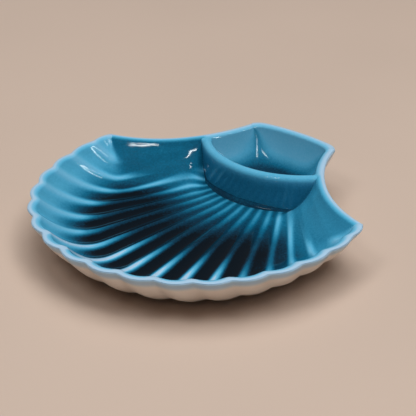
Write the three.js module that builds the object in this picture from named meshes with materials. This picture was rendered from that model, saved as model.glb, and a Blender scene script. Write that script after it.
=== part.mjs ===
// Seashell platter: a glazed earthenware scallop dish with a dip cup behind a curved divider.
// Millimetres, +Z up. The fan opens towards -Y, the hinge of the shell is at +Y, the foot stands on Z = 0.
// The shell is drawn from the focus of its ribs, which lies in the middle of the hinge.

import * as THREE from 'three';

// Plan of the inner rim edge
const FAN_CENTRE = 125;
const FAN_RADIUS = 110;
const FAN_CORNER_HALF = 114;
const FAN_CORNER_SET = 92;
const FAN_CORNER_ROUND = 3;
const NECK_HALF = 53;
const NECK_SET = 52;
const HINGE_HALF = 33;
const HINGE_SET = 8;
const HINGE_BOW = 4;
const HINGE_ROUND = 4;

// Heights above the table
const FOOT_HEIGHT = 2;
const FAN_FLOOR = 9;
const CUP_FLOOR = 8.5;
const RIM_FAN = 33;
const RIM_HINGE = 36;
const DIVIDER_TOP = 36;

// Walls: each sweeps from the rim down to its floor over a run
const FAN_RUN = 42;
const CUP_RUN = 16;
const OUTER_FAN_RUN = 40;
const OUTER_CUP_RUN = 22;
const LIP_WIDTH = 5.5;
const LIP_RISE = 1.8;
const CREASE_SHARPNESS = 4;

// Ribs and flutes
const RIBS_EACH_SIDE = 8;
const SIDE_LOBE = 0.6;
const SIDE_LOBE_DEPTH = 0.6;
const FLUTE_DEPTH = 3.2;
const FLUTE_FADE = 14;
const EAR_SHARPNESS = 8;
const FAN_ROUND_SHARPNESS = 30;
const HINGE_ROUND_SHARPNESS = 14;

// Divider, its lute bead and the standing ring
const DIVIDER_RADIUS = 70.5;
const DIVIDER_WALL = 7;
const BEAD_SIZE = 4.5;
const FOOT_INSET = 10;
const FOOT_WIDTH = 5;

// Coats and fits
const GLAZE = 0.5;
const GLAZE_BOND = 0.05;
const GLAZE_HEM = 1.5;
const FIT_GAP = 0.3;

// Fineness of the facets
const STEPS_PER_LOBE = 3;
const STEPS_SIDE_LOBE = 2;
const CUP_ROWS = 5;
const FAN_ROWS = 7;
const ROW_CROWDING = 1.6;
const LIP_STEPS = 3;
const CREST_STEPS = 4;
const BEAD_STEPS = 3;
const FOOT_STEPS = 60;

const UP = new THREE.Vector3(0, 0, 1);
const focus = new THREE.Vector2(0, 0);
const fanCentre = new THREE.Vector2(0, -FAN_CENTRE);
const fanCorner = new THREE.Vector2(FAN_CORNER_HALF, -FAN_CORNER_SET);
const ear = fanCorner.distanceTo(fanCentre) - FAN_RADIUS;
const frontReach = FAN_CENTRE + FAN_RADIUS;
const cupFace = DIVIDER_RADIUS - DIVIDER_WALL / 2;
const fanFace = DIVIDER_RADIUS + DIVIDER_WALL / 2;
const coatRoom = GLAZE_BOND + GLAZE + FIT_GAP;
const cupEdge = cupFace - coatRoom;
const beadEdge = fanFace + coatRoom + BEAD_SIZE + FIT_GAP;
const ribSpans = RIBS_EACH_SIDE + SIDE_LOBE;

// The concave side edge is an arc through the hinge corner, the neck and the fan corner
const sideArc = arcThrough(
  new THREE.Vector2(HINGE_HALF, -HINGE_SET),
  new THREE.Vector2(NECK_HALF, -NECK_SET),
  fanCorner,
);

function arcThrough(a, b, c) {
  const ab = b.clone().sub(a);
  const ac = c.clone().sub(a);
  const turn = 2 * ab.cross(ac);
  const x = (ac.y * ab.lengthSq() - ab.y * ac.lengthSq()) / turn;
  const y = (ab.x * ac.lengthSq() - ac.x * ab.lengthSq()) / turn;
  const offset = new THREE.Vector2(x, y);
  return { centre: a.clone().add(offset), radius: offset.length(), bend: Math.sign(turn) };
}

function smooth(value, from, to) {
  return THREE.MathUtils.smoothstep(value, from, to);
}

// A point on a circle, by its angle from the -Y direction
function onCircle(centre, radius, angle) {
  return new THREE.Vector2(centre.x + radius * Math.sin(angle), centre.y - radius * Math.cos(angle));
}

function sideRadius(outset) {
  return sideArc.radius - sideArc.bend * outset;
}

// The angle at which a circle on the axis meets the side edge
function sideAngle(centre, radius, outset) {
  const away = sideArc.centre.clone().sub(centre);
  const heading = Math.atan2(away.x, -away.y);
  const gap = away.length();
  const cosine = (radius ** 2 + gap ** 2 - sideRadius(outset) ** 2) / (2 * radius * gap);
  return heading - sideArc.bend * Math.acos(cosine);
}

function sideDistance(p, outset) {
  const mirrored = new THREE.Vector2(Math.abs(p.x), p.y);
  return sideArc.bend * (mirrored.distanceTo(sideArc.centre) - sideRadius(outset));
}

function hingeHalf(outset) {
  const rise = hingeLine(1, outset) - sideArc.centre.y;
  return sideArc.centre.x - sideArc.bend * Math.sqrt(sideRadius(outset) ** 2 - rise ** 2);
}

// The hinge bows back in the middle and rounds off at its corners
function hingeLine(across, outset) {
  const round = HINGE_ROUND * Math.abs(across) ** HINGE_ROUND_SHARPNESS;
  return outset - HINGE_SET + HINGE_BOW * (1 - across ** 2) - round;
}

function hingeDistance(p, outset) {
  const across = THREE.MathUtils.clamp(p.x / hingeHalf(outset), -1, 1);
  return hingeLine(across, outset) - p.y;
}

// The round rim runs out into a blunt ear at each corner of the fan
function rimRadius(u, outset) {
  const round = FAN_CORNER_ROUND * Math.abs(u) ** FAN_ROUND_SHARPNESS;
  return FAN_RADIUS + ear * Math.abs(u) ** EAR_SHARPNESS - round + outset;
}

function rimAngle(outset) {
  return sideAngle(fanCentre, rimRadius(1, outset), outset);
}

function fanDistance(p, outset) {
  const bearing = Math.atan2(p.x, fanCentre.y - p.y);
  const u = THREE.MathUtils.clamp(bearing / rimAngle(outset), -1, 1);
  return rimRadius(u, outset) - p.distanceTo(fanCentre);
}

// The lesser of two distances, with the crease between them rounded off
function softLeast(a, b) {
  const closest = 1e-4;
  const sum = Math.max(a, closest) ** -CREASE_SHARPNESS + Math.max(b, closest) ** -CREASE_SHARPNESS;
  return sum ** (-1 / CREASE_SHARPNESS);
}

// Columns run across the dish from side to side, three to a lobe, with one on every rib
function columnPlaces() {
  const half = [];
  for (let step = 0; step < RIBS_EACH_SIDE * STEPS_PER_LOBE; step += 1) {
    half.push(step / STEPS_PER_LOBE / ribSpans);
  }
  for (let step = 0; step <= STEPS_SIDE_LOBE; step += 1) {
    half.push((RIBS_EACH_SIDE + (SIDE_LOBE * step) / STEPS_SIDE_LOBE) / ribSpans);
  }
  return [...half.slice(1).reverse().map((place) => -place), ...half];
}

// Rows run from the hinge through the cup, under the divider and its bead, and out to the fan's rim
function rowPlaces() {
  const rows = [];
  for (let step = 0; step < CUP_ROWS; step += 1) {
    rows.push({ zone: 'cup', along: (step / CUP_ROWS) ** ROW_CROWDING });
  }
  rows.push({ zone: 'cup', along: 1 });
  rows.push({ zone: 'joint', ring: cupFace, floor: 'cup' });
  rows.push({ zone: 'joint', ring: fanFace, floor: 'fan' });
  for (let step = 0; step <= FAN_ROWS; step += 1) {
    rows.push({ zone: 'fan', along: 1 - (1 - step / FAN_ROWS) ** ROW_CROWDING });
  }
  return rows;
}

function ringPoint(radius, u, outset) {
  return onCircle(focus, radius, u * sideAngle(focus, radius, outset));
}

function hingePoint(u, outset) {
  return new THREE.Vector2(u * hingeHalf(outset), hingeLine(u, outset));
}

function rimPoint(u, outset) {
  return onCircle(fanCentre, rimRadius(u, outset), u * rimAngle(outset));
}

// Straight lines join the ring by the divider to the rim, bent at the sides to follow the side arc
function spanPoint(from, to, u, along, outset) {
  const edge = from(Math.sign(u) || 1).lerp(to(Math.sign(u) || 1), along);
  const centre = new THREE.Vector2(Math.sign(edge.x) * sideArc.centre.x, sideArc.centre.y);
  const seated = edge.clone().sub(centre).setLength(sideRadius(outset)).add(centre);
  return from(u).lerp(to(u), along).addScaledVector(seated.sub(edge), u ** 4);
}

function planPoint(u, row, outset) {
  if (row.zone === 'joint') return ringPoint(row.ring, u, outset);
  const hinge = (place) => hingePoint(place, outset);
  const cupRing = (place) => ringPoint(cupEdge, place, outset);
  const fanRing = (place) => ringPoint(beadEdge, place, outset);
  const rim = (place) => rimPoint(place, outset);
  if (row.zone === 'cup') return spanPoint(hinge, cupRing, u, row.along, outset);
  return spanPoint(fanRing, rim, u, row.along, outset);
}

// The rim is level round the fan and climbs along the sides towards the hinge
function edgeHeight(p) {
  return RIM_FAN + (RIM_HINGE - RIM_FAN) * smooth(p.y, fanCentre.y, -HINGE_SET);
}

// 0 on a rib, 1 in the middle of a flute, with a shallow narrow flute along each side
function flute(u) {
  const spans = Math.abs(u) * ribSpans;
  if (spans <= RIBS_EACH_SIDE) return Math.abs(Math.sin(Math.PI * spans));
  return SIDE_LOBE_DEPTH * Math.sin((Math.PI * (spans - RIBS_EACH_SIDE)) / SIDE_LOBE);
}

// Flutes deepen as they spread away from the focus
function fluteDepth(u, p) {
  const fade = smooth(p.length(), beadEdge, beadEdge + FLUTE_FADE);
  return FLUTE_DEPTH * fade * flute(u) * (p.length() / frontReach);
}

function outwards(p) {
  return p.clone().sub(fanCentre).normalize();
}

function insidePoint(u, row) {
  const p = planPoint(u, row, 0);
  const inCup = (row.floor ?? row.zone) === 'cup';
  const end = inCup ? hingeDistance(p, 0) : fanDistance(p, 0);
  const run = inCup ? CUP_RUN : FAN_RUN;
  const floor = inCup ? CUP_FLOOR : FAN_FLOOR;
  const rise = Math.max(0, 1 - softLeast(sideDistance(p, 0), end) / run);
  const height = floor + (edgeHeight(p) - floor) * rise ** 2;
  if (row.zone !== 'fan') return new THREE.Vector3(p.x, p.y, height);
  const depth = fluteDepth(u, p);
  const moved = p.clone().addScaledVector(outwards(p), depth * rise);
  return new THREE.Vector3(moved.x, moved.y, height - depth * (1 - rise));
}

function outsidePoint(u, row) {
  const p = planPoint(u, row, LIP_WIDTH);
  const inCup = (row.floor ?? row.zone) === 'cup';
  const end = inCup ? hingeDistance(p, LIP_WIDTH) : fanDistance(p, LIP_WIDTH);
  const inFan = smooth(p.length(), cupFace - OUTER_CUP_RUN, fanFace + OUTER_CUP_RUN);
  const run = THREE.MathUtils.lerp(OUTER_CUP_RUN, OUTER_FAN_RUN, inFan);
  const rise = Math.max(0, 1 - softLeast(sideDistance(p, LIP_WIDTH), end) / run);
  const height = FOOT_HEIGHT + (edgeHeight(p) - FOOT_HEIGHT) * rise ** 2;
  if (row.zone !== 'fan') return new THREE.Vector3(p.x, p.y, height);
  const bulge = fluteDepth(u, p);
  const moved = p.clone().addScaledVector(outwards(p), bulge * rise);
  const drop = Math.min(bulge * (1 - rise), height - FOOT_HEIGHT);
  return new THREE.Vector3(moved.x, moved.y, height - drop);
}

// A surface of flat patches, each with the zone of the dish that it lies in
class PatchSkin {
  constructor() {
    this.points = [];
    this.patches = [];
  }

  add(point) {
    this.points.push(point);
    return this.points.length - 1;
  }

  patch(zone, ...corners) {
    this.patches.push({ zone, corners });
  }

  geometry() {
    const index = [];
    for (const { corners } of this.patches) {
      for (let k = 2; k < corners.length; k += 1) index.push(corners[0], corners[k - 1], corners[k]);
    }
    const geometry = new THREE.BufferGeometry().setFromPoints(this.points);
    geometry.setIndex(index);
    geometry.computeVertexNormals();
    return geometry;
  }

  normals() {
    const normal = this.geometry().getAttribute('normal');
    return this.points.map((_, k) => new THREE.Vector3().fromBufferAttribute(normal, k));
  }
}

// A thin coat over the patches of some zones, closed round its edges
function coat(skin, zones) {
  const normals = skin.normals();
  const layer = new PatchSkin();
  const copies = new Map();
  const lifted = (k, lift) => layer.add(skin.points[k].clone().addScaledVector(normals[k], lift));
  const copy = (k) => {
    if (!copies.has(k)) copies.set(k, { low: lifted(k, GLAZE_BOND), high: lifted(k, GLAZE_BOND + GLAZE) });
    return copies.get(k);
  };
  const edges = new Map();
  for (const { zone, corners } of skin.patches) {
    if (!zones.includes(zone)) continue;
    const both = corners.map(copy);
    layer.patch(zone, ...both.map((c) => c.high));
    const low = both.map((c) => c.low);
    layer.patch(zone, low[0], ...low.slice(1).reverse());
    corners.forEach((a, k) => {
      const b = corners[(k + 1) % corners.length];
      if (!edges.delete(`${b} ${a}`)) edges.set(`${a} ${b}`, [a, b]);
    });
  }
  // Two coats that meet share an edge, so both split it along the same diagonal
  for (const [a, b] of edges.values()) {
    const side = [copy(a).low, copy(b).low, copy(b).high, copy(a).high];
    if (a > b) side.push(side.shift());
    layer.patch('edge', ...side);
  }
  return layer;
}

// A closed bar through sections of equal length, with a cap at each end
function sweep(sections, zoneOf) {
  const bar = new PatchSkin();
  const rings = sections.map((section) => section.map((point) => bar.add(point)));
  const count = sections[0].length;
  for (let s = 1; s < rings.length; s += 1) {
    for (let k = 0; k < count; k += 1) {
      const next = (k + 1) % count;
      bar.patch(zoneOf(k), rings[s - 1][k], rings[s][k], rings[s][next], rings[s - 1][next]);
    }
  }
  const cap = (ring, section, turned) => {
    const middle = new THREE.Vector3();
    section.forEach((point) => middle.addScaledVector(point, 1 / count));
    const hub = bar.add(middle);
    ring.forEach((a, k) => {
      const b = ring[(k + 1) % count];
      bar.patch('cap', hub, ...(turned ? [b, a] : [a, b]));
    });
  };
  cap(rings[0], sections[0], false);
  cap(rings[rings.length - 1], sections[sections.length - 1], true);
  return bar;
}

const columns = columnPlaces();
const rows = rowPlaces();
const lastColumn = columns.length - 1;
const lastRow = rows.length - 1;
const cupEdgeRow = CUP_ROWS;
const cupFaceRow = cupEdgeRow + 1;
const fanFaceRow = cupFaceRow + 1;
const beadRow = fanFaceRow + 1;

// The cast shell: its inside sheet, its outside sheet and the round lip that joins them
function shellSkin() {
  const skin = new PatchSkin();
  const inside = rows.map((row) => columns.map((u) => skin.add(insidePoint(u, row))));
  const outside = rows.map((row) => columns.map((u) => skin.add(outsidePoint(u, row))));
  const zoneOfRow = (j) => (j < cupEdgeRow ? 'cup' : j < beadRow ? 'joint' : 'fan');
  for (let j = 0; j < lastRow; j += 1) {
    for (let i = 0; i < lastColumn; i += 1) {
      // Each patch is split along the crease that runs into its corner of the dish
      const zone = zoneOfRow(j);
      const onLeft = i < lastColumn / 2;
      const split = zone === (onLeft ? 'fan' : 'cup') ? 1 : 0;
      const over = [inside[j][i], inside[j + 1][i], inside[j + 1][i + 1], inside[j][i + 1]];
      skin.patch(zone, ...over.slice(split), ...over.slice(0, split));
      const under = [outside[j][i], outside[j][i + 1], outside[j + 1][i + 1], outside[j + 1][i]];
      const raised = under.every((k) => skin.points[k].z > FOOT_HEIGHT + GLAZE);
      skin.patch(raised ? 'wall' : 'base', ...under.slice(split), ...under.slice(0, split));
    }
  }

  const loop = [];
  for (let i = 0; i < lastColumn; i += 1) loop.push([lastRow, i]);
  for (let j = lastRow; j > 0; j -= 1) loop.push([j, lastColumn]);
  for (let i = lastColumn; i > 0; i -= 1) loop.push([0, i]);
  for (let j = 0; j < lastRow; j += 1) loop.push([j, 0]);
  const lips = loop.map(([j, i]) => {
    const inner = skin.points[inside[j][i]];
    const outer = skin.points[outside[j][i]];
    const ring = [inside[j][i]];
    for (let step = 1; step < LIP_STEPS; step += 1) {
      const turn = (Math.PI * step) / LIP_STEPS;
      const point = inner.clone().lerp(outer, (1 - Math.cos(turn)) / 2);
      ring.push(skin.add(point.addScaledVector(UP, LIP_RISE * Math.sin(turn))));
    }
    return [...ring, outside[j][i]];
  });
  lips.forEach((lip, k) => {
    const next = lips[(k + 1) % lips.length];
    const row = Math.min(loop[k][0], loop[(k + 1) % loop.length][0]);
    for (let step = 0; step < LIP_STEPS; step += 1) {
      const innerLip = row < cupEdgeRow ? 'cup' : 'fan';
      const zone = step < LIP_STEPS - 1 ? innerLip : 'wall';
      skin.patch(zone, lip[step], lip[step + 1], next[step + 1], next[step]);
    }
  });
  return { skin, inside };
}

const { skin: shell, inside } = shellSkin();
const insideAt = (row, column) => shell.points[inside[row][column]];

// Moves a point of the joint along its ring's radius, away from the focus
function offRing(point, out) {
  const flat = new THREE.Vector3(point.x, point.y, 0).normalize();
  return point.clone().addScaledVector(flat, out);
}

// The divider stands on the shell's own surface and reaches from side wall to side wall
function dividerSkin() {
  const sections = [];
  for (let i = 1; i < lastColumn; i += 1) {
    const fanFoot = insideAt(fanFaceRow, i).clone().addScaledVector(UP, FIT_GAP);
    const cupFoot = insideAt(cupFaceRow, i).clone().addScaledVector(UP, FIT_GAP);
    const room = DIVIDER_TOP - Math.max(fanFoot.z, cupFoot.z);
    const crown = Math.min(DIVIDER_WALL / 2, room / 2);
    const hem = UP.clone().multiplyScalar(Math.min(GLAZE_HEM, room / 3));
    const section = [cupFoot, fanFoot, fanFoot.clone().add(hem)];
    for (let step = 0; step <= CREST_STEPS; step += 1) {
      const turn = (Math.PI * step) / CREST_STEPS;
      const point = fanFoot.clone().lerp(cupFoot, (1 - Math.cos(turn)) / 2);
      point.z = DIVIDER_TOP - crown + crown * Math.sin(turn);
      section.push(point);
    }
    sections.push([...section, cupFoot.clone().add(hem)]);
  }
  const lastStrip = sections[0].length - 1;
  return sweep(sections, (k) => (k > 1 && k < lastStrip ? 'face' : 'foot'));
}

// A roll of slip fills the corner between the divider and the fan's floor
function beadSkin() {
  const sections = [];
  for (let i = 1; i < lastColumn; i += 1) {
    const back = offRing(insideAt(fanFaceRow, i), coatRoom);
    const front = offRing(insideAt(beadRow, i), -FIT_GAP);
    back.z += FIT_GAP;
    front.z += FIT_GAP;
    const tall = Math.min(BEAD_SIZE, (DIVIDER_TOP - back.z) / 2);
    const section = [back, front];
    for (let step = 1; step < BEAD_STEPS; step += 1) {
      const turn = (Math.PI / 2) * (step / BEAD_STEPS);
      const point = back.clone().lerp(front, Math.cos(turn));
      point.z += tall * Math.sin(turn);
      section.push(point);
    }
    section.push(back.clone().addScaledVector(UP, tall));
    sections.push(section);
  }
  return sweep(sections, () => 'roll');
}

// The unglazed ring that the dish stands on
function footGeometry() {
  const radius = FAN_RADIUS + LIP_WIDTH - OUTER_FAN_RUN - FOOT_INSET;
  const top = FOOT_HEIGHT - FIT_GAP;
  const bevel = FOOT_WIDTH / 5;
  const profile = [
    new THREE.Vector2(radius - FOOT_WIDTH / 2, top),
    new THREE.Vector2(radius - FOOT_WIDTH / 2 + bevel, 0),
    new THREE.Vector2(radius + FOOT_WIDTH / 2 - bevel, 0),
    new THREE.Vector2(radius + FOOT_WIDTH / 2, top),
    new THREE.Vector2(radius - FOOT_WIDTH / 2, top),
  ];
  return new THREE.LatheGeometry(profile, FOOT_STEPS).rotateX(Math.PI / 2);
}

function piece(name, geometry, color, roughness) {
  const material = new THREE.MeshStandardMaterial({ color, roughness, metalness: 0 });
  const mesh = new THREE.Mesh(geometry, material);
  mesh.name = name;
  return mesh;
}

const divider = dividerSkin();
const foot = piece('foot_ring', footGeometry(), '#e6dac6', 0.8);
foot.position.y = fanCentre.y;

const platter = new THREE.Group();
platter.add(
  piece('shell_body', shell.geometry(), '#eee5d6', 0.7),
  piece('dip_divider', divider.geometry(), '#eee5d6', 0.7),
  piece('lute_bead', beadSkin().geometry(), '#2f7f97', 0.15),
  foot,
  piece('fan_glaze', coat(shell, ['fan']).geometry(), '#1d6683', 0.12),
  piece('cup_glaze', coat(shell, ['cup']).geometry(), '#3f93a8', 0.12),
  piece('divider_glaze', coat(divider, ['face']).geometry(), '#3d8ba1', 0.12),
  piece('outer_glaze', coat(shell, ['wall']).geometry(), '#f3ece0', 0.3),
);

// The origin is on the table under the middle of the dish
const box = new THREE.Box3().setFromObject(platter);
platter.position.y = -(box.min.y + box.max.y) / 2;

export default platter;
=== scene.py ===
"""Looks of the seashell platter: a scallop dish of glazed earthenware with a dip cup at its hinge end.

The dish is drawn in millimetres from the focus of its ribs, as the CAD part is. Its meshes are in metres.
Clay comes first, then the coats of glaze that lie on it, then the floor, the lamps and the camera.
"""

from __future__ import annotations

import logging
import math
from contextlib import contextmanager
from dataclasses import dataclass
from enum import Enum
from functools import cached_property, partial
from typing import Any, Callable, Iterator

import bpy
import numpy as np
from mathutils import Euler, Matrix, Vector

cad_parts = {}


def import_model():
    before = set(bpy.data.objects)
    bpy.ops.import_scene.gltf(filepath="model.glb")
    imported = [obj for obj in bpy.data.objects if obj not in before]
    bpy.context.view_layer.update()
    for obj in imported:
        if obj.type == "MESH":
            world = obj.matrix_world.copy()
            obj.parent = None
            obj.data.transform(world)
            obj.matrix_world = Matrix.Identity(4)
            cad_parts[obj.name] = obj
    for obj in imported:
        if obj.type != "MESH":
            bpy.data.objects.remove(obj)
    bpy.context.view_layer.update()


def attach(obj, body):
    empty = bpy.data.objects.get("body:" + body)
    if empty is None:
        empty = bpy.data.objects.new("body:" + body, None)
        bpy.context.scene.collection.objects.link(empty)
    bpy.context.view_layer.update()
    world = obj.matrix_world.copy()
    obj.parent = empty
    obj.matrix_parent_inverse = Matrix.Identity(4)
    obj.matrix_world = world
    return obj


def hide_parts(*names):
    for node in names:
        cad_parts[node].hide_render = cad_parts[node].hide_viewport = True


log = logging.getLogger("seashell_platter")

Array = np.ndarray
Span = tuple[float, float]
Place = tuple[float, float, float]
Colour = tuple[float, float, float]
Curve = Callable[[Any, float], Array]
Piece = bpy.types.Object
Material = bpy.types.Material
Socket = bpy.types.NodeSocket

MM = 0.001
TINY = 1e-12
WHITE: Colour = (1.0, 1.0, 1.0)
COOL: Colour = (0.93, 1.0, 1.0)
PALE_BLUE: Colour = (0.43, 0.64, 0.82)
FOOT_PALE: Colour = (0.66, 0.57, 0.46)
FOOT_DARK: Colour = (0.52, 0.42, 0.32)

# Stations along the dish, from the hinge edge to the fan's rim.
HINGE = 0.0
CUP_END = 1.0
UNDER_DIVIDER = 1.5
FAN_START = 2.0
RIM = 3.0
WHOLE_DISH = (HINGE, CUP_END, FAN_START, RIM)
EDGE_CROWD = 1.5


def mix(low: Any, high: Any, share: Any) -> Any:
    """Blend two numbers or arrays, from low at share 0 to high at share 1."""
    return low + (high - low) * share


def smooth(value: Any, low: float, high: float) -> Any:
    """Ease from 0 at low to 1 at high."""
    share = np.clip((value - low) / (high - low), 0.0, 1.0)
    return share * share * (3.0 - 2.0 * share)


def point(x: Any, y: Any) -> Array:
    """Join the coordinates of points in plan."""
    return np.stack(np.broadcast_arrays(x, y), axis=-1)


def unit(vectors: Array) -> Array:
    """Scale vectors to a length of 1."""
    return vectors / np.maximum(np.linalg.norm(vectors, axis=-1, keepdims=True), TINY)


def facing(direction: Vector) -> Euler:
    """Turn a lamp or a camera to look along a direction."""
    return direction.to_track_quat("-Z", "Y").to_euler()


class Lamp(Enum):
    """What a lamp is for, with its shape: soft light on every surface, or a glint in the glaze."""

    SOFT = "RECTANGLE"
    GLINT = "ELLIPSE"


class Slot(Enum):
    """The record's material slots."""

    CLAY = "clay_body"
    FOOT = "bare_foot"
    TEAL = "teal_glaze"
    CREAM = "cream_glaze"


@dataclass(frozen=True)
class Skin:
    """A grid of points on the dish, with the glaze's depth, which in places also paints light and shade,
    and the way past the inner rim edge at each.

    Rows run from the hinge to the rim and columns from left to right.
    """

    points: Array
    depth: Array
    edge: Array


@dataclass(frozen=True)
class Pool:
    """How deep the inside glaze lies, from 0 where it is bare to 1 where it is black.

    A pair gives the two places between which one depth eases into the next. Some depths paint light and
    shade as well: a highlight on the rib ends at the front, shade on the left side wall and light on the
    right one.
    """

    # The dip cup.
    cup_floor: float = 0.85
    cup_wall: float = 0.13
    cup_corner: float = 0.26
    corner_ease: Span = (0.04, 0.3)
    cup_climb: Span = (0.16, 0.7)

    # The fan's ribs, from the divider to the rim.
    rib_start: float = 0.37
    rib_middle: float = 0.84
    # At the front the wall ribs' depth lies below bare glaze: a painted highlight.
    rib_wall_highlight: float = -0.12
    rib_side: float = 0.09
    rib_along: Span = (0.05, 0.34)
    rib_across: Span = (0.42, 0.95)
    rib_climb: Span = (0.0, 0.4)

    # The widths of the ribs' pale streaks, as shares of a flute; the streaks at the front are a painted
    # highlight.
    wide_rib: float = 1.15
    thin_rib: float = 0.7
    highlight_rib: float = 0.8
    wall_rib: float = 0.95
    thin_along: Span = (0.0, 0.5)

    # The palest rib ends, at the front: the glaze is thin on the crests, and paler still there as a painted
    # highlight.
    highlight_at: float = 0.1
    highlight_across: Span = (0.2, 0.48)
    highlight_lead: float = 0.16
    rim_along: Span = (0.55, 0.9)

    # The flutes between the ribs and the plain walls at the sides, the left wall deeper as painted shade
    # and the right one paler as painted light.
    flute_start: float = 0.72
    flute_middle: float = 1.10
    flute_wall: float = 0.23
    flute_along: Span = (0.04, 0.48)
    flute_across: Span = (0.42, 1.05)
    flute_climb: Span = (0.05, 0.85)
    side_left_shaded: float = 0.60
    side_right_lit: float = 0.39
    side_fade: float = 0.9
    lean: float = 0.11

    def cup(self, rise: Array, nearer: Array) -> Array:
        """Give the depth in the cup, with nearer 0 by the hinge, 1 by a side and 0.5 in their corner."""
        wall = self.cup_wall + self.cup_corner * (1.0 - smooth(np.abs(nearer - 0.5), *self.corner_ease))
        return mix(self.cup_floor, wall, smooth(rise, *self.cup_climb))

    def fan(self, rise: Array, flute: Array, along: Array, across: Array, beside: Array) -> Array:
        """Give the depth in the fan, where the dark pool runs out in wedges between the ribs, with a
        painted highlight on the rib ends at the front and painted shade and light on the side walls.

        Args:
            rise: Places on the wall, from 0 at its foot to 1 at the rim.
            flute: 0 on a rib and 1 in the middle of a flute.
            along: Places from the divider to the rim.
            across: Places from side to side.
            beside: 1 on the plain walls at the sides, 0 elsewhere.

        Returns:
            The depth at each place.
        """
        off_pool = np.abs(across + self.lean)
        on_rib = smooth(along, *self.rib_along) * (1.0 - smooth(off_pool, *self.rib_across))
        in_flute = smooth(along, *self.flute_along) * (1.0 - smooth(off_pool, *self.flute_across))
        # Painted highlight: the rib ends near the front are paler, and their pale streaks are wider.
        off_highlight = smooth(np.abs(across - self.highlight_at), *self.highlight_across)
        at_rim = smooth(along + self.highlight_lead * (1.0 - off_highlight), *self.rim_along)

        rib_floor = mix(self.rib_start, self.rib_middle, on_rib)
        rib_wall_highlight = mix(self.rib_wall_highlight, self.rib_side, off_highlight)
        rib = mix(rib_floor, rib_wall_highlight, np.maximum(smooth(rise, *self.rib_climb), at_rim))

        flute_floor = mix(self.flute_start, self.flute_middle, in_flute)
        # Painted light and shade: the left side wall is darker than the right one.
        side_wall_lit_and_shaded = np.where(across < 0.0, self.side_left_shaded, self.side_right_lit)
        flute_wall = mix(self.flute_wall, side_wall_lit_and_shaded, beside)
        hollow = mix(flute_floor, flute_wall, smooth(rise, *self.flute_climb))

        floor_width = mix(self.wide_rib, self.thin_rib, smooth(along, *self.thin_along))
        width = mix(floor_width, mix(self.highlight_rib, self.wall_rib, off_highlight), at_rim)
        share = np.maximum(np.clip(flute / width, 0.0, 1.0), self.side_fade * beside)
        return mix(rib, hollow, smooth(share, 0.0, 1.0))


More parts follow.
